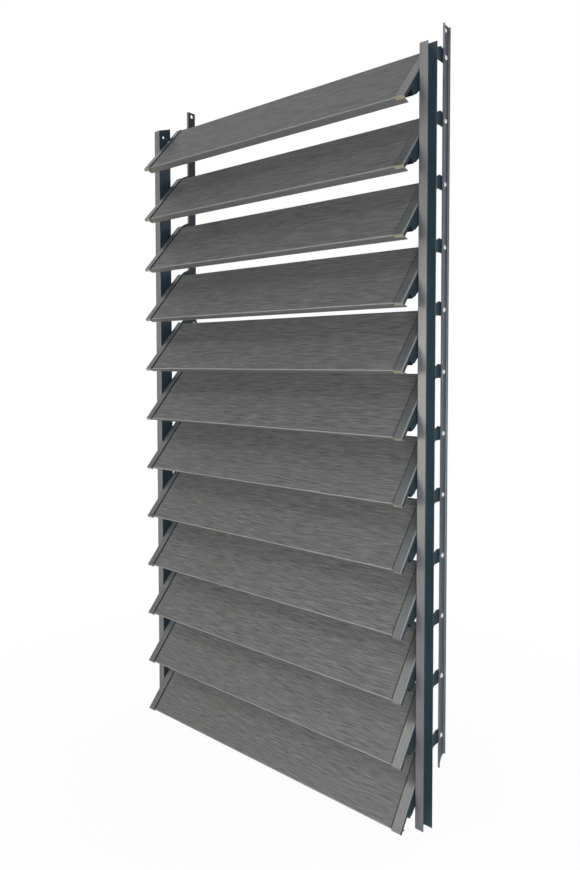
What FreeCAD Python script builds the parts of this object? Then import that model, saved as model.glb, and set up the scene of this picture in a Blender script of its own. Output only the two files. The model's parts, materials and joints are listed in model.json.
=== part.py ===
import FreeCAD, Part
import math
import os

# Adjustable louvre screen: a column of folded sheet blades that tilt together between two
# channel stiles. Every blade is held at each end by a folded bracket. The bracket turns on a
# rivet in the stile, and its rear arm is joined to a control bar that ties all blades together.
# Millimetres and degrees. X runs along the blades, Y from front to back, Z up.
# The origin is level with the stiles' lowest corners, midway between them, on the plane of the pivots.

# Arrangement
blade_count = 12
blade_pitch = 150.0
rest_tilt = 48.0
side_clearance = 0.2
running_clearance = 0.05
cut_overrun = 5.0

# Blades: a face with a slanted return along the front edge and a square one along the back
blade_length = 870.0
nose_depth = 24.0
nose_slant = 26.0
back_depth = 16.5
blade_sheet = 1.5
blade_bend = 1.0

# Bracket plate and its folds, measured from the low front corner of the bracket and from
# the outer face of its lip
bracket_length = 196.0
bracket_sheet = 2.5
bracket_bend = 1.5
lip_width = 23.0
front_hook_depth = 9.0
back_hook_depth = 15.0
plate_end_depth = 9.0
toe_depth = 10.0
tab_setback = 40.0
tab_width = 20.0
tab_depth = 27.0
heel_setback = 51.0
heel_depth = 31.0
belly_setback = 76.0
belly_depth = 35.0
tail_setback = 206.0
tail_depth = 34.0
pivot_setback = 102.8
pivot_depth = 25.3

# Lever arm at the back of the bracket, measured from its link hole along and across the arm
lever_length = 140.7
lever_drop = 10.6
arm_drop = 48.0
arm_radius = 15.0
shoulder_back = 23.3
shoulder_rise = 19.7
neck_back = 41.3
neck_rise = 11.7
sight_hole_back = 17.3
sight_hole_radius = 1.8

# Stiles: channels that open away from the blades, with both ends cut so that the back is longer
stile_depth = 46.0
stile_flange = 22.0
stile_wall = 2.0
stile_bend = 1.0
top_distance = 72.0
foot_distance = 78.0
end_rise = 15.0
fixing_inset = 18.0
fixing_spacing = 13.0
fixing_radius = 4.0

# Control bars: shallow channels that open away from the blades
bar_width = 32.0
bar_flange = 6.0
bar_sheet = 2.0
bar_bend = 1.5
bar_end_hole_inset = 11.5
bar_end_hole_radius = 5.5
bar_foot_cut_radius = 22.0

# Pivot rivets and the flanged bushes round them
pivot_rivet_radius = 3.5
pivot_head_radius = 7.0
pivot_head = 2.0
bush_wall = 1.5
bush_flange_radius = 8.5
bush_flange = 2.0

# Link rivets with a flat head inside and a dome on the bar
link_rivet_radius = 4.0
link_head_radius = 7.0
link_head = 1.0
link_dome_radius = 6.0
link_dome = 3.0

# Rivets that hold the blade's back return in the hook of each bracket
blade_rivet_radius = 1.6
blade_rivet_head_radius = 2.8
blade_rivet_head = 1.0
blade_rivet_depth = 10.5

# Places worked out from the sizes above, on the right-hand side
pivot_span = (blade_count - 1) * blade_pitch
lowest_pivot = end_rise + foot_distance
stile_length = lowest_pivot + pivot_span + top_distance + end_rise
bar_end = blade_pitch / 2
bar_length = pivot_span + 2 * bar_end
slant = math.tan(math.radians(nose_slant))
bracket_in = blade_length / 2 + bracket_bend
bracket_out = bracket_in + bracket_sheet
lip_edge = bracket_out - lip_width
web_in = bracket_out + side_clearance + bush_flange
web_out = web_in + stile_wall
bar_in = bracket_out + side_clearance
bar_out = bar_in + bar_sheet
fold_radius = bracket_bend + bracket_sheet
bush_radius = pivot_rivet_radius + bush_wall
link_y = lever_length * math.cos(math.radians(lever_drop))
link_z = -lever_length * math.sin(math.radians(lever_drop))
low_y = -pivot_setback
high_y = bracket_length - pivot_setback
face_z = pivot_depth

X_AXIS = FreeCAD.Vector(1, 0, 0)
Y_AXIS = FreeCAD.Vector(0, 1, 0)
Z_AXIS = FreeCAD.Vector(0, 0, 1)
ORIGIN = FreeCAD.Vector(0, 0, 0)


def rounded_face(corners, place):
    """Plane face through (first, second, radius) corners; place maps the pair to a point."""
    points = [place(first, second) for first, second, radius in corners]
    starts = []
    ends = []
    arcs = []
    for index, (first, second, radius) in enumerate(corners):
        point = points[index]
        before = (points[index - 1] - point).normalize()
        after = (points[(index + 1) % len(points)] - point).normalize()
        half_turn = before.getAngle(after) / 2
        run = radius / math.tan(half_turn)
        starts.append(point + before * run)
        ends.append(point + after * run)
        middle = point
        if radius > 0:
            inward = (before + after).normalize()
            middle = point + inward * (radius / math.sin(half_turn) - radius)
        arcs.append(middle)
    edges = []
    for index, (first, second, radius) in enumerate(corners):
        if radius > 0:
            edges.append(Part.Arc(starts[index], arcs[index], ends[index]).toShape())
        following = starts[(index + 1) % len(points)]
        if ends[index].distanceToPoint(following) > Part.Precision.confusion():
            edges.append(Part.LineSegment(ends[index], following).toShape())
    return Part.Face(Part.Wire(edges))


def channel_solid(start, depth, flange, wall, bend, bottom, length):
    """Upright channel whose web starts at X = start and whose flanges run to +X."""
    half = depth / 2
    outer = bend + wall
    corners = [
        (start + flange, -half, 0),
        (start, -half, outer),
        (start, half, outer),
        (start + flange, half, 0),
        (start + flange, half - wall, 0),
        (start + wall, half - wall, bend),
        (start + wall, wall - half, bend),
        (start + flange, wall - half, 0),
    ]
    face = rounded_face(corners, lambda x, y: FreeCAD.Vector(x, y, bottom))
    return face.extrude(Z_AXIS * length)


def cross_cylinder(radius, x_start, x_end, y, z):
    """Cylinder along X between two places."""
    return Part.makeCylinder(radius, x_end - x_start, FreeCAD.Vector(x_start, y, z), X_AXIS)


def to_rest(shape, pivot_z):
    """Turn a piece made about a level blade's pivot to its tilt, at the pivot's height."""
    turned = shape.copy()
    turned.rotate(ORIGIN, X_AXIS, rest_tilt)
    turned.translate(Z_AXIS * pivot_z)
    return turned


def mirrored(shape):
    """The left-hand copy of a right-hand piece."""
    return shape.mirror(ORIGIN, X_AXIS)


def joined(solids):
    """One solid from pieces that overlap or meet."""
    return solids[0].fuse(solids[1:]).removeSplitter().Solids[0]


def level_section(y, z):
    """A place in the section of a level blade, on the inner face of the right bracket."""
    return FreeCAD.Vector(bracket_in, y, z)


def arm_place(along, across):
    """A place in the bracket's section, measured from the link hole along and across the arm."""
    turn = math.radians(arm_drop)
    y = link_y + along * math.cos(turn) + across * math.sin(turn)
    z = link_z - along * math.sin(turn) + across * math.cos(turn)
    return y, z


def blade():
    """Folded sheet: face, slanted front return and square back return."""
    top = face_z - bracket_sheet
    under = top - blade_sheet
    front_edge = top - nose_depth
    back_edge = top - back_depth
    back = high_y - bracket_sheet
    nose_run = blade_sheet / math.cos(math.radians(nose_slant))
    outer = blade_bend + blade_sheet
    half_corner = math.radians((90 - nose_slant) / 2)
    overhang = outer / math.tan(half_corner) - outer
    front = low_y + bracket_sheet + side_clearance - overhang
    corners = [
        (front + nose_depth * slant, front_edge, 0),
        (front, top, outer),
        (back, top, outer),
        (back, back_edge, 0),
        (back - blade_sheet, back_edge, 0),
        (back - blade_sheet, under, blade_bend),
        (front + blade_sheet * slant + nose_run, under, blade_bend),
        (front + nose_depth * slant + nose_run, front_edge, 0),
    ]
    start = -blade_length / 2
    face = rounded_face(corners, lambda y, z: FreeCAD.Vector(start, y, z))
    sheet = face.extrude(X_AXIS * blade_length)
    hole = rivet_shank(blade_rivet_radius + running_clearance)
    return sheet.cut([hole, mirrored(hole)])


def rivet_shank(radius):
    """Straight shank through the hook and the back return, on the right-hand side."""
    length = bracket_sheet + blade_sheet
    start = FreeCAD.Vector(bracket_out - lip_width / 2, high_y - length, face_z - blade_rivet_depth)
    return Part.makeCylinder(radius, length, start, Y_AXIS)


def blade_rivet():
    """Blind rivet: head on the hook, closed end behind the return."""
    shank = rivet_shank(blade_rivet_radius)
    centre = shank.CenterOfMass
    outside = FreeCAD.Vector(centre.x, high_y, centre.z)
    inside = FreeCAD.Vector(centre.x, high_y - bracket_sheet - blade_sheet, centre.z)
    head = Part.makeCone(blade_rivet_head_radius, blade_rivet_radius, blade_rivet_head, outside, Y_AXIS)
    tail = Part.makeCone(blade_rivet_head_radius, blade_rivet_radius, blade_rivet_head, inside, -Y_AXIS)
    return joined([shank, head, tail])


def lip():
    """Flange folded inward over the end of the blade's face, with the top of the plate."""
    corners = [
        (lip_edge, face_z, 0),
        (bracket_out, face_z, fold_radius),
        (bracket_out, face_z - front_hook_depth, 0),
        (bracket_in, face_z - front_hook_depth, 0),
        (bracket_in, face_z - bracket_sheet, bracket_bend),
        (lip_edge, face_z - bracket_sheet, 0),
    ]
    face = rounded_face(corners, lambda x, z: FreeCAD.Vector(x, low_y, z))
    return face.extrude(Y_AXIS * bracket_length)


def heel_tab():
    """Flange folded inward along the upright front edge of the heel."""
    front = low_y + tab_setback
    inner_edge = bracket_out - tab_width
    top = face_z - toe_depth
    corners = [
        (inner_edge, front, 0),
        (bracket_out, front, fold_radius),
        (bracket_out, front + 2 * fold_radius, 0),
        (bracket_in, front + 2 * fold_radius, 0),
        (bracket_in, front + bracket_sheet, bracket_bend),
        (inner_edge, front + bracket_sheet, 0),
    ]
    face = rounded_face(corners, lambda x, y: FreeCAD.Vector(x, y, top))
    return face.extrude(Z_AXIS * (toe_depth - tab_depth))


def hook(y, depth):
    """Short leg folded down from an end of the lip."""
    corner = FreeCAD.Vector(lip_edge, y, face_z - depth)
    return Part.makeBox(bracket_in - lip_edge, bracket_sheet, depth, corner)


def bracket_plate():
    """Flat plate of the bracket with its narrow toe, stepped heel and cranked arm."""
    top = face_z - fold_radius
    heel_front = low_y + tab_setback + fold_radius
    neck_y, neck_z = arm_place(-neck_back, neck_rise)
    shoulder_y, shoulder_z = arm_place(-shoulder_back, shoulder_rise)
    upper_y, upper_z = arm_place(arm_radius, arm_radius)
    lower_y, lower_z = arm_place(arm_radius, -arm_radius)
    corners = [
        (low_y, top, 0),
        (high_y, top, 0),
        (high_y, face_z - plate_end_depth, 0),
        (neck_y, neck_z, 0),
        (shoulder_y, shoulder_z, 0),
        (upper_y, upper_z, arm_radius),
        (lower_y, lower_z, arm_radius),
        (low_y + tail_setback, face_z - tail_depth, 0),
        (low_y + belly_setback, face_z - belly_depth, 0),
        (low_y + heel_setback, face_z - heel_depth, 0),
        (heel_front, face_z - tab_depth, 0),
        (heel_front, face_z - toe_depth, 0),
        (low_y, face_z - toe_depth, 0),
    ]
    return rounded_face(corners, level_section).extrude(X_AXIS * bracket_sheet)


def bracket():
    """Right-hand bracket: plate, full-length lip hooked at both ends, and a tab at the heel."""
    low_hook = hook(low_y, front_hook_depth)
    high_hook = hook(high_y - bracket_sheet, back_hook_depth)
    body = joined([bracket_plate(), lip(), heel_tab(), low_hook, high_hook])
    sight_y, sight_z = arm_place(-sight_hole_back, 0)
    start = bracket_in - cut_overrun
    end = bracket_out + cut_overrun
    holes = [
        cross_cylinder(bush_radius + running_clearance, start, end, 0, 0),
        cross_cylinder(link_rivet_radius + running_clearance, start, end, link_y, link_z),
        cross_cylinder(sight_hole_radius, start, end, sight_y, sight_z),
        rivet_shank(blade_rivet_radius + running_clearance),
    ]
    return body.cut(holes).Solids[0]


def end_waste(z, rise):
    """Wedge outside a slanted end of the stile, whose back corner is at a height."""
    half = stile_depth / 2
    corners = [
        (half, z, 0),
        (-half, z + rise, 0),
        (-half - cut_overrun, z + rise, 0),
        (-half - cut_overrun, z, 0),
    ]
    face = rounded_face(corners, lambda y, height: FreeCAD.Vector(web_in - cut_overrun, y, height))
    return face.extrude(X_AXIS * (stile_flange + 2 * cut_overrun))


def stile(pivots):
    """Right-hand stile with slanted ends, its pivot holes and a pair of fixing holes near each end."""
    channel = channel_solid(web_in, stile_depth, stile_flange, stile_wall, stile_bend, 0, stile_length)
    start = web_in - cut_overrun
    end = web_out + cut_overrun
    holes = [cross_cylinder(pivot_rivet_radius + running_clearance, start, end, 0, z) for z in pivots]
    fixing_height = end_rise + fixing_inset
    for z in (fixing_height, stile_length - fixing_height):
        for y in (-fixing_spacing / 2, fixing_spacing / 2):
            holes.append(cross_cylinder(fixing_radius, start, end, y, z))
    wastes = [end_waste(0, end_rise), end_waste(stile_length, -end_rise)]
    return channel.cut(holes + wastes).Solids[0]


def bush(z):
    """Flanged bush: spaces the bracket from the stile and lines the bracket's pivot hole."""
    flange = cross_cylinder(bush_flange_radius, bracket_out + side_clearance, web_in, 0, z)
    barrel = cross_cylinder(bush_radius, bracket_in - side_clearance, bracket_out + side_clearance, 0, z)
    bore = cross_cylinder(
        pivot_rivet_radius + running_clearance,
        bracket_in - cut_overrun,
        web_in + cut_overrun,
        0,
        z,
    )
    return joined([flange, barrel]).cut(bore).Solids[0]


def pivot_rivet(z):
    """Rivet through bush and stile web, with a tapered head at each end."""
    inner = bracket_in - side_clearance
    shank = cross_cylinder(pivot_rivet_radius, inner, web_out, 0, z)
    inner_head = Part.makeCone(
        pivot_head_radius, pivot_rivet_radius, pivot_head, FreeCAD.Vector(inner, 0, z), -X_AXIS
    )
    outer_head = Part.makeCone(
        pivot_head_radius, pivot_rivet_radius, pivot_head, FreeCAD.Vector(web_out, 0, z), X_AXIS
    )
    return joined([shank, inner_head, outer_head])


def control_bar(links):
    """Right-hand bar: punched for its links, with a hole at the head and a rounded cut at the foot."""
    place, first = links[0]
    bottom = links[-1][1] - bar_end
    bar = channel_solid(bar_in, bar_width, bar_flange, bar_sheet, bar_bend, bottom, bar_length)
    bar.translate(Y_AXIS * place)
    start = bar_in - cut_overrun
    end = bar_in + bar_flange + cut_overrun
    cuts = [cross_cylinder(link_rivet_radius + running_clearance, start, end, y, z) for y, z in links]
    head = first + bar_end - bar_end_hole_inset
    cuts.append(cross_cylinder(bar_end_hole_radius, start, end, place, head))
    cuts.append(cross_cylinder(bar_foot_cut_radius, start, end, place + bar_width / 2, bottom))
    return bar.cut(cuts).Solids[0]


def link_rivet(y, z):
    """Rivet that joins a lever arm to the bar: flat head inside, dome on the bar."""
    inner = bracket_in - side_clearance
    shank = cross_cylinder(link_rivet_radius, inner, bar_out, y, z)
    head = cross_cylinder(link_head_radius, inner - link_head, inner, y, z)
    ball = (link_dome_radius**2 + link_dome**2) / (2 * link_dome)
    sink = ball - link_dome
    base_angle = math.degrees(math.asin(sink / ball))
    centre = FreeCAD.Vector(bar_out - sink, y, z)
    dome = Part.makeSphere(ball, centre, X_AXIS, base_angle, 90, 360)
    return joined([shank, head, dome])


def write(name, solids):
    """One file per node; alike fasteners share a node as separate solids."""
    shape = solids[0] if len(solids) == 1 else Part.makeCompound(solids)
    shape.exportStep(os.path.join("parts", name + ".step"))


def write_pair(name, solids):
    """The right-hand pieces and their mirrored left-hand copies, as two nodes."""
    write("right_" + name, solids)
    write("left_" + name, [mirrored(solid) for solid in solids])


os.makedirs("parts", exist_ok=True)

pivot_heights = [lowest_pivot + pivot_span - index * blade_pitch for index in range(blade_count)]
rest_turn = math.radians(rest_tilt)
rest_link_y = link_y * math.cos(rest_turn) - link_z * math.sin(rest_turn)
rest_link_z = link_y * math.sin(rest_turn) + link_z * math.cos(rest_turn)
link_places = [(rest_link_y, z + rest_link_z) for z in pivot_heights]

level_blade = blade()
level_bracket = bracket()
level_rivet = blade_rivet()
for index, height in enumerate(pivot_heights):
    number = f"{index + 1:02d}"
    rivet = to_rest(level_rivet, height)
    write("blade_" + number, [to_rest(level_blade, height)])
    write_pair("bracket_" + number, [to_rest(level_bracket, height)])
    write("blade_rivets_" + number, [rivet, mirrored(rivet)])

write_pair("stile", [stile(pivot_heights)])
write_pair("bushes", [bush(z) for z in pivot_heights])
write_pair("pivot_rivets", [pivot_rivet(z) for z in pivot_heights])
write_pair("control_bar", [control_bar(link_places)])
write_pair("link_rivets", [link_rivet(y, z) for y, z in link_places])
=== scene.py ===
import json
import math

import bpy
from mathutils import Euler, Matrix, Vector

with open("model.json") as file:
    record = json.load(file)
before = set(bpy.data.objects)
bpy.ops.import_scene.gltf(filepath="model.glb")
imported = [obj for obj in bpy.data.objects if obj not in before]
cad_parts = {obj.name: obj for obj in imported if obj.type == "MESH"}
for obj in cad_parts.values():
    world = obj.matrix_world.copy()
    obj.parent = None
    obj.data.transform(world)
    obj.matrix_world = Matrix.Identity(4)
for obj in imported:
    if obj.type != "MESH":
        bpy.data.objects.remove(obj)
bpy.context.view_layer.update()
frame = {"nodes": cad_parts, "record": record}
nodes = frame["nodes"]


def grey(level, blue=0.0):
    """A grey, turned a little towards blue."""
    return (level * (1 - blue), level, level * (1 + blue), 1)


# The photograph's frame and the camera that was fitted to it, in pixels, degrees and metres
PHOTO_WIDTH = 580
PHOTO_HEIGHT = 870
FOCAL_PIXELS = 674.1
PRINCIPAL_X = 273.0
PRINCIPAL_Y = 386.75
CAMERA_PLACE = Vector((1.1762, -1.4088, 1.1059))
CAMERA_HEADING = 40.012
CAMERA_DIP = 2.191
CAMERA_ROLL = -0.134
CAMERA_REACH = 100
SENSOR = 36.0

# The blades' tilt at rest, in degrees: the grain runs in the plane of their faces
REST_TILT = 48.0

# How far from the middle the lips begin on the blades, and how wide the painted shade beside them
# is, a dark line where each lip meets the blade
LIP_EDGE = 0.416
SEAM_SHADE_WIDTH = 0.0046

# Front faces of a bracket ahead of this place belong to its toe, those behind it to its tab, which
# gets a near-black painted shade
TOE_FRONT = -0.07

# The stiles' faces behind this place are inside the channel or at its back, and get the painted
# shade of the flanks
STILE_FRONT = -0.0222

# Texture cells per metre along X, Y and Z; for the blades, along, down and through the face
SWAY_CELLS = (3.5, 14.0, 14.0)
STREAK_CELLS = (20.0, 540.0, 60.0)
PORE_CELLS = (20.0, 420.0, 60.0)
CLOUD_CELLS = (4.0, 22.0, 22.0)
SATIN_CELLS = (900.0, 900.0, 900.0)
COAT_CELLS = (14.0, 14.0, 14.0)
ROLL_CELLS = (1500.0, 1500.0, 6.0)
PATCH_CELLS = (12.0, 12.0, 5.0)
MOTTLE_CELLS = (600.0, 600.0, 600.0)

# How many cells the grain sways, and how deep its pores are where the cloud is low and high
SWAY_REACH = 8.0
PORE_DEPTH = (0.3, 0.65)

# Noise values at which an effect begins and at which it is full
NOISE_RANGE = (0.3, 0.7)
CLOUD_RANGE = (0.35, 0.65)
PORE_RANGE = (0.54, 0.62)

# How far a face turns to a direction where an effect begins and where it is full
FACE_RANGE = (0.97, 0.995)
# Painted highlight: turns of the blades' front fold that get a paler colour
FOLD_HIGHLIGHT_RISE = (0.05, 0.2)
FOLD_HIGHLIGHT_FALL = (0.85, 0.7)
# Painted shade: side faces of the brackets beyond this turn get a dark bluish colour
SIDE_SHADE_RANGE = (0.9, 0.98)
# Painted highlight: turns of the brackets' lip folds that get a paler colour
LIP_FOLD_HIGHLIGHT_RISE = (0.1, 0.3)
LIP_FOLD_HIGHLIGHT_FALL = (0.9, 0.7)
TOE_RANGE = (0.9, 0.98)
# Painted shade: front faces of the tab beyond this turn get a near-black colour
TAB_SHADE_RANGE = (0.3, 0.5)
FLANK_RANGE = (0.8, 0.95)
INNER_LIMIT = -0.5

# Relief: its height in metres, its strength on each coat, and the pale streaks' share of it
RELIEF_HEIGHT = 0.0002
BLADE_RELIEF = 0.15
SATIN_RELIEF = 0.1
ROLL_RELIEF = 0.06
MOTTLE_RELIEF = 0.1
STREAK_SHARE = 0.5

# Gloss: roughness from low to high noise, and specular level on open and on shaded faces
BLADE_ROUGHNESS = (0.6, 0.5)
BLADE_SPECULAR = 0.3
SATIN_ROUGHNESS = (0.24, 0.34)
SHADE_ROUGHNESS = 0.25
BRACKET_SPECULAR = (0.5, 0.12)
ROLL_ROUGHNESS = 0.05
METAL_SPECULAR = (0.5, 0.15)
NYLON_ROUGHNESS = (0.45, 0.65)

# Colours of the blades, brackets and bushes
BLADE_LOW = grey(0.060, 0.014)
BLADE_HIGH = grey(0.172, 0.014)
BLADE_PORE = grey(0.045)
# Painted shade: a dark line on each blade where a lip's edge meets it
BLADE_SEAM_SHADE = (0.016, 0.014, 0.012, 1)
BLADE_PLAIN = grey(0.105)
# Painted highlight along the blades' front fold
BLADE_FOLD_HIGHLIGHT = grey(0.22)
COAT_LOW = (0.075, 0.083, 0.087, 1)
COAT_HIGH = (0.093, 0.100, 0.103, 1)
# Painted highlight along the brackets' lip folds
COAT_FOLD_HIGHLIGHT = grey(0.19)
# Painted shade on the brackets' flat sides, and near-black painted shade on their tabs
COAT_SHADE = (0.018, 0.034, 0.046, 1)
COAT_TAB_SHADE = (0.004, 0.005, 0.006, 1)
COAT_TOE = (0.19, 0.163, 0.122, 1)
NYLON_LOW = grey(0.012)
NYLON_HIGH = grey(0.03)

# Colours of rolled metal on its front, its flanks and its inner faces, and how pale patches are;
# on stiles and bars the darker flank and inner colours are painted shade
STILE_TONES_WITH_SHADE = (grey(0.108, 0.03), (0.020, 0.034, 0.044, 1), (0.016, 0.028, 0.038, 1))
BAR_TONES_WITH_SHADE = (grey(0.145, 0.09), (0.039, 0.051, 0.062, 1), (0.008, 0.014, 0.020, 1))
RIVET_TONES = (grey(0.55, 0.02), grey(0.6, 0.02), grey(0.5))
BODY_PATCH = 1.15
FLANK_PATCH = 1.4

# The floor's half width, its finish, and its share of plain white near the object and away from it
FLOOR_HALF = 400.0
FLOOR_TONE = grey(0.85)
FLOOR_ROUGHNESS = 0.9
FLOOR_SPECULAR = 0.1
FLOOR_FADE = (0.3, 1.4)
FLOOR_WHITE = (0.955, 1.0)

# White for the rays that see the studio, and the dim cool light that the world gives otherwise
WHITE = grey(1.0)
WORLD_TONE = (0.18, 0.195, 0.22, 1)

# Soft boxes: place, width, height, power and colour; all face the object's middle
LIGHT_TARGET = (0, 0, 0.9)
LIGHTS = {
    "front": ((2.2, -2.2, 0.5), 1.6, 1.0, 88, (0.97, 0.985, 1)),
    "key": ((-1.35, -3.4, 0.86), 1.4, 1.3, 58, (1, 0.91, 0.78)),
    "upper": ((-4.4, -6.4, 7.5), 2.4, 2.4, 140, (1, 0.95, 0.88)),
    "back": ((0.6, 3.4, 1.8), 2.2, 2.2, 60, (0.93, 0.96, 1)),
}

# The colour sockets of a Mix node: two inputs and the output
MIX_FIRST = 6
MIX_SECOND = 7
MIX_RESULT = 2


# Helpers for node materials


class Shader:
    """A material with one Principled shader, and short calls to add nodes to it."""

    def __init__(self, name):
        self.material = bpy.data.materials.new(name)
        self.material.use_nodes = True
        self.tree = self.material.node_tree
        self.surface = self.tree.nodes["Principled BSDF"]

    def node(self, kind, inputs=None, **settings):
        """A node with its settings, and inputs given as values or as sockets to link."""
        made = self.tree.nodes.new(kind)
        for key, value in settings.items():
            setattr(made, key, value)
        for key, value in (inputs or {}).items():
            self.feed(made.inputs[key], value)
        return made

    def feed(self, socket, value):
        """Links a socket to another one, or sets its value."""
        if isinstance(value, bpy.types.NodeSocket):
            self.tree.links.new(value, socket)
        else:
            socket.default_value = value

    def set(self, **inputs):
        """Feeds the Principled shader; an underscore in a name stands for a space."""
        for key, value in inputs.items():
            self.feed(self.surface.inputs[key.replace("_", " ")], value)

    def coordinates(self, kind):
        """The object's own coordinates, or its own normals."""
        return self.node("ShaderNodeTexCoord").outputs[kind]

    def math(self, operation, first, second=0.0):
        """The result of a Math node."""
        return self.node("ShaderNodeMath", {0: first, 1: second}, operation=operation).outputs[0]

    def vector(self, operation, first, second):
        """A Vector Math node of two vectors."""
        return self.node("ShaderNodeVectorMath", {0: first, 1: second}, operation=operation)

    def place(self, cells, turn=0.0):
        """Object coordinates turned about X by some degrees, then scaled."""
        turned = self.node(
            "ShaderNodeVectorRotate",
            {"Vector": self.coordinates("Object"), "Angle": math.radians(turn)},
            rotation_type="X_AXIS",
        )
        return self.vector("MULTIPLY", turned.outputs[0], cells).outputs[0]

    def axis(self, name):
        """One of the object's own coordinates."""
        return self.node("ShaderNodeSeparateXYZ", {0: self.coordinates("Object")}).outputs[name]

    def noise(self, vector, detail=3.0, roughness=0.5, distortion=0.0):
        """The factor of a Noise texture."""
        made = self.node(
            "ShaderNodeTexNoise",
            {
                "Vector": vector,
                "Scale": 1.0,
                "Detail": detail,
                "Roughness": roughness,
                "Distortion": distortion,
            },
        )
        return made.outputs["Fac"]

    def span(self, value, source, target=(0.0, 1.0)):
        """A value's range mapped to another one, held at the ends."""
        made = self.node(
            "ShaderNodeMapRange",
            {
                "Value": value,
                "From Min": source[0],
                "From Max": source[1],
                "To Min": target[0],
                "To Max": target[1],
            },
        )
        return made.outputs[0]

    def band(self, value, rise, fall):
        """1 between a rise and a fall, and 0 outside them."""
        return self.math("MULTIPLY", self.span(value, rise), self.span(value, fall))

    def mix(self, factor, first, second):
        """Two colours mixed by a factor."""
        made = self.node("ShaderNodeMix", {"Factor": factor}, data_type="RGBA")
        self.feed(made.inputs[MIX_FIRST], first)
        self.feed(made.inputs[MIX_SECOND], second)
        return made.outputs[MIX_RESULT]

    def bump(self, height, strength):
        """A normal from a height."""
        made = self.node(
            "ShaderNodeBump",
            {"Height": height, "Strength": strength, "Distance": RELIEF_HEIGHT},
        )
        return made.outputs[0]

    def facing(self, direction):
        """How far the surface's own normal turns to a direction of the object."""
        return self.vector("DOT_PRODUCT", self.coordinates("Normal"), direction).outputs["Value"]


def tilted(y, z):
    """A direction in the section of a level blade, turned to the blade's tilt at rest."""
    return Euler((math.radians(REST_TILT), 0, 0)).to_matrix() @ Vector((0, y, z))


def lighter(tone, times):
    """A colour some times as light."""
    return tuple(channel * times for channel in tone[:3]) + (1,)


# Materials


def wood_grain(shader):
    """Fine streaks along a blade and darker pores, which sway together."""
    sway = shader.noise(shader.place(SWAY_CELLS, -REST_TILT), detail=2.0)
    reach = shader.math("MULTIPLY", sway, SWAY_REACH)
    drift = shader.node("ShaderNodeCombineXYZ", {"Y": reach}).outputs[0]
    streak_place = shader.vector("ADD", shader.place(STREAK_CELLS, -REST_TILT), drift).outputs[0]
    streaks = shader.noise(streak_place, detail=3.0, roughness=0.6, distortion=0.1)
    pore_place = shader.vector("ADD", shader.place(PORE_CELLS, -REST_TILT), drift).outputs[0]
    pores = shader.noise(pore_place, detail=2.0, roughness=0.6, distortion=0.2)
    cloud = shader.noise(shader.place(CLOUD_CELLS, -REST_TILT), detail=3.0)
    depth = shader.span(cloud, CLOUD_RANGE, PORE_DEPTH)
    return streaks, shader.math("MULTIPLY", shader.span(pores, PORE_RANGE), depth)


def blade_material():
    """Grey coat embossed with wood grain, painted shade where the lips meet it and a painted
    highlight on the front fold.
    """
    shader = Shader("blade_woodgrain")
    streaks, dark = wood_grain(shader)
    pale = shader.span(streaks, NOISE_RANGE)
    tone = shader.mix(pale, BLADE_LOW, BLADE_HIGH)
    tone = shader.mix(dark, tone, BLADE_PORE)
    along = shader.math("ABSOLUTE", shader.axis("X"))
    # Painted shade: a dark line beside each lip's edge, where the lip meets the blade
    seam_shade = shader.span(along, (LIP_EDGE - SEAM_SHADE_WIDTH, LIP_EDGE - SEAM_SHADE_WIDTH / 2))
    tone = shader.mix(seam_shade, tone, BLADE_SEAM_SHADE)
    face = shader.span(shader.facing(tilted(0, 1)), FACE_RANGE)
    # Painted highlight on the front fold
    fold_highlight = shader.band(shader.facing(tilted(-1, 0)), FOLD_HIGHLIGHT_RISE, FOLD_HIGHLIGHT_FALL)
    plain = shader.mix(fold_highlight, BLADE_PLAIN, BLADE_FOLD_HIGHLIGHT)
    relief = shader.math("SUBTRACT", shader.math("MULTIPLY", pale, STREAK_SHARE), dark)
    shader.set(
        Base_Color=shader.mix(face, plain, tone),
        Roughness=shader.span(streaks, NOISE_RANGE, BLADE_ROUGHNESS),
        Specular_IOR_Level=BLADE_SPECULAR,
        Normal=shader.bump(shader.math("MULTIPLY", relief, face), BLADE_RELIEF),
    )
    return shader.material


def bracket_material():
    """Satin coat with painted highlights on the folds, bluish painted shade on the flat sides, a
    sandy toe and near-black painted shade on the tab.
    """
    shader = Shader("bracket_satin")
    grain = shader.noise(shader.place(SATIN_CELLS), detail=2.0)
    cloud = shader.noise(shader.place(COAT_CELLS), detail=3.0)
    across = shader.math("ABSOLUTE", shader.facing((1, 0, 0)))
    front = shader.facing(tilted(-1, 0))
    ahead = shader.math("LESS_THAN", shader.axis("Y"), TOE_FRONT)
    behind = shader.math("SUBTRACT", 1.0, ahead)
    fold_highlight = shader.band(across, LIP_FOLD_HIGHLIGHT_RISE, LIP_FOLD_HIGHLIGHT_FALL)
    toe = shader.math("MULTIPLY", shader.span(front, TOE_RANGE), ahead)
    tab_shade = shader.math("MULTIPLY", shader.span(front, TAB_SHADE_RANGE), behind)
    # Painted shade on the flat sides and the tab
    shade = shader.math("MAXIMUM", shader.span(across, SIDE_SHADE_RANGE), tab_shade)
    coat = shader.mix(shader.span(cloud, NOISE_RANGE), COAT_LOW, COAT_HIGH)
    # Painted highlight on the folds, painted shade on the flat sides, and near-black painted shade
    # on the tab
    coat = shader.mix(fold_highlight, coat, COAT_FOLD_HIGHLIGHT)
    coat = shader.mix(shade, coat, COAT_SHADE)
    coat = shader.mix(tab_shade, coat, COAT_TAB_SHADE)
    satin = shader.span(grain, NOISE_RANGE, SATIN_ROUGHNESS)
    dull = shader.math("MULTIPLY", shade, SHADE_ROUGHNESS)
    shader.set(
        Base_Color=shader.mix(toe, coat, COAT_TOE),
        Specular_IOR_Level=shader.span(shade, (0.0, 1.0), BRACKET_SPECULAR),
        Roughness=shader.math("ADD", satin, dull),
        Normal=shader.bump(grain, SATIN_RELIEF),
    )
    return shader.material


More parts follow.
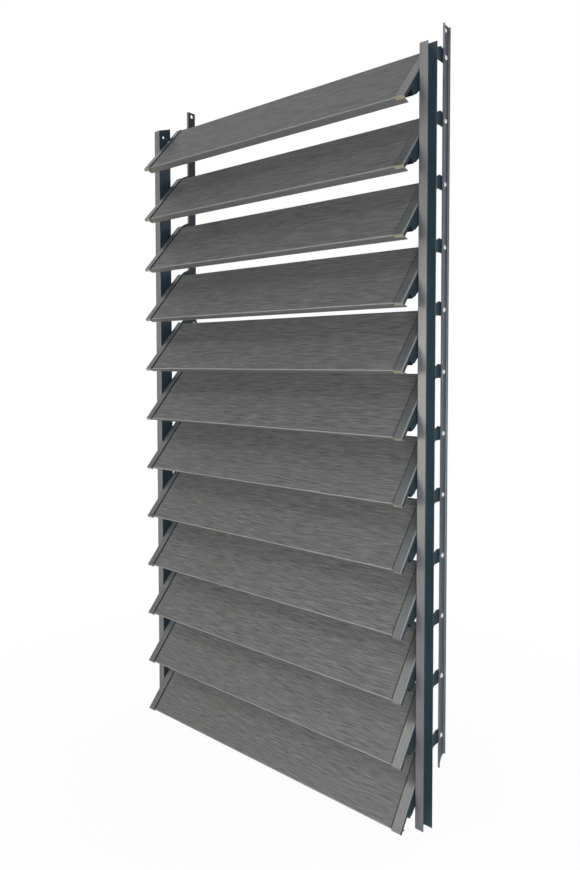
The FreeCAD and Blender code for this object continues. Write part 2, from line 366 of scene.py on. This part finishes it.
def rolled_metal(name, tones, metallic, roughness, front=None):
    """Rolled metal with fine lines along its length, faint patches, and its own tones on flanks
    and inner faces, darker on stiles and bars as painted shade.
    """
    shader = Shader(name)
    body_tone, flank_tone, inner_tone = tones
    lines = shader.noise(shader.place(ROLL_CELLS), detail=3.0, roughness=0.6)
    patches = shader.noise(shader.place(PATCH_CELLS), detail=4.0)
    across = shader.facing((1, 0, 0))
    # On stiles and bars the flank and inner colours are painted shade; on stiles the faces inside
    # the channel get it too
    side = shader.span(shader.math("ABSOLUTE", across), FLANK_RANGE)
    if front is not None:
        behind = shader.math("GREATER_THAN", shader.axis("Y"), front)
        side = shader.math("MAXIMUM", side, behind)
    outward = shader.math("MULTIPLY", across, shader.math("SIGN", shader.axis("X")))
    inner = shader.math("LESS_THAN", outward, INNER_LIMIT)
    patch = shader.span(patches, NOISE_RANGE)
    body = shader.mix(patch, body_tone, lighter(body_tone, BODY_PATCH))
    flank = shader.mix(patch, flank_tone, lighter(flank_tone, FLANK_PATCH))
    flank = shader.mix(inner, flank, inner_tone)
    gloss = (roughness - ROLL_ROUGHNESS, roughness + ROLL_ROUGHNESS)
    shader.set(
        Base_Color=shader.mix(side, body, flank),
        Metallic=shader.span(side, (0.0, 1.0), (metallic, 0.0)),
        Specular_IOR_Level=shader.span(side, (0.0, 1.0), METAL_SPECULAR),
        Roughness=shader.span(lines, NOISE_RANGE, gloss),
        Normal=shader.bump(lines, ROLL_RELIEF),
    )
    return shader.material


def nylon_material():
    """Dull black nylon with a faint moulded mottle."""
    shader = Shader("bush_nylon")
    mottle = shader.noise(shader.place(MOTTLE_CELLS), detail=2.0)
    shader.set(
        Base_Color=shader.mix(mottle, NYLON_LOW, NYLON_HIGH),
        Roughness=shader.span(mottle, NOISE_RANGE, NYLON_ROUGHNESS),
        Normal=shader.bump(mottle, MOTTLE_RELIEF),
    )
    return shader.material


def dress_nodes():
    """Gives every node the finish of its material slot."""
    finishes = {
        "blade_sheet": blade_material(),
        "bracket_sheet": bracket_material(),
        "stile_metal": rolled_metal(
            "stile_rolled", STILE_TONES_WITH_SHADE, metallic=0.2, roughness=0.4, front=STILE_FRONT
        ),
        "bar_metal": rolled_metal("bar_rolled", BAR_TONES_WITH_SHADE, metallic=0.2, roughness=0.4),
        "rivet_metal": rolled_metal("rivet_rolled", RIVET_TONES, metallic=0.9, roughness=0.25),
        "bush_nylon": nylon_material(),
    }
    for part in frame["record"]["subparts"]:
        mesh = nodes[part["node"]].data
        mesh.materials.clear()
        mesh.materials.append(finishes[part["material_slot"]])


# Studio


def white_rays(tree):
    """1 for the rays that see the studio as plain white, and 0 for those that carry its light."""
    path = tree.nodes.new("ShaderNodeLightPath")
    seen = path.outputs["Is Camera Ray"]
    for kind in ("Is Glossy Ray", "Is Transmission Ray"):
        either = tree.nodes.new("ShaderNodeMath")
        either.operation = "MAXIMUM"
        tree.links.new(seen, either.inputs[0])
        tree.links.new(path.outputs[kind], either.inputs[1])
        seen = either.outputs[0]
    return seen


def floor_material():
    """White that keeps a soft trace of the object's shadow and fades to plain white."""
    shader = Shader("floor_white")
    shader.set(
        Base_Color=FLOOR_TONE, Roughness=FLOOR_ROUGHNESS, Specular_IOR_Level=FLOOR_SPECULAR
    )
    glow = shader.node("ShaderNodeEmission", {"Color": WHITE, "Strength": 1.0})
    spot = shader.coordinates("Object")
    distance = shader.node("ShaderNodeVectorMath", {0: spot}, operation="LENGTH").outputs["Value"]
    fade = shader.span(distance, FLOOR_FADE, FLOOR_WHITE)
    share = shader.math("MULTIPLY", white_rays(shader.tree), fade)
    mixed = shader.node(
        "ShaderNodeMixShader", {0: share, 1: shader.surface.outputs[0], 2: glow.outputs[0]}
    )
    output = shader.tree.nodes["Material Output"]
    shader.tree.links.new(mixed.outputs[0], output.inputs["Surface"])
    return shader.material


def studio_floor():
    """A wide level floor under the object."""
    half = FLOOR_HALF
    mesh = bpy.data.meshes.new("floor")
    corners = [(-half, -half, 0), (half, -half, 0), (half, half, 0), (-half, half, 0)]
    mesh.from_pydata(corners, [], [(0, 1, 2, 3)])
    mesh.materials.append(floor_material())
    floor = bpy.data.objects.new("floor", mesh)
    bpy.context.scene.collection.objects.link(floor)


def studio_world():
    """White to the camera and in reflections; a dim cool light elsewhere."""
    world = bpy.data.worlds.new("studio")
    world.use_nodes = True
    bpy.context.scene.world = world
    tree = world.node_tree
    colour = tree.nodes.new("ShaderNodeMix")
    colour.data_type = "RGBA"
    colour.inputs[MIX_FIRST].default_value = WORLD_TONE
    colour.inputs[MIX_SECOND].default_value = WHITE
    tree.links.new(white_rays(tree), colour.inputs[0])
    tree.links.new(colour.outputs[MIX_RESULT], tree.nodes["Background"].inputs["Color"])


def area_light(name, place, width, height, power, colour):
    """A soft box that faces the object's middle."""
    lamp = bpy.data.lights.new(name, "AREA")
    lamp.shape = "RECTANGLE"
    lamp.size = width
    lamp.size_y = height
    lamp.energy = power
    lamp.color = colour
    light = bpy.data.objects.new(name, lamp)
    light.location = place
    aim = Vector(LIGHT_TARGET) - Vector(place)
    light.rotation_euler = aim.to_track_quat("-Z", "Y").to_euler()
    bpy.context.scene.collection.objects.link(light)


def studio_lights():
    """Soft boxes from the front right, front left, high up at the left, and behind."""
    for name, values in LIGHTS.items():
        area_light(name, *values)


def photo_camera():
    """The camera that was fitted to the photograph."""
    long_side = max(PHOTO_WIDTH, PHOTO_HEIGHT)
    lens = bpy.data.cameras.new("photo_camera")
    lens.sensor_width = SENSOR
    lens.lens = FOCAL_PIXELS * SENSOR / long_side
    lens.shift_x = (PHOTO_WIDTH / 2 - PRINCIPAL_X) / long_side
    lens.shift_y = (PRINCIPAL_Y - PHOTO_HEIGHT / 2) / long_side
    lens.clip_end = CAMERA_REACH
    camera = bpy.data.objects.new("photo_camera", lens)
    turn = Matrix.Rotation(math.radians(CAMERA_HEADING), 4, "Z")
    tip = Matrix.Rotation(math.radians(90 - CAMERA_DIP), 4, "X")
    roll = Matrix.Rotation(math.radians(CAMERA_ROLL), 4, "Z")
    camera.matrix_world = Matrix.Translation(CAMERA_PLACE) @ turn @ tip @ roll
    bpy.context.scene.collection.objects.link(camera)
    bpy.context.scene.camera = camera


dress_nodes()
studio_floor()
studio_world()
studio_lights()
photo_camera()
bpy.context.scene.view_settings.view_transform = "Standard"
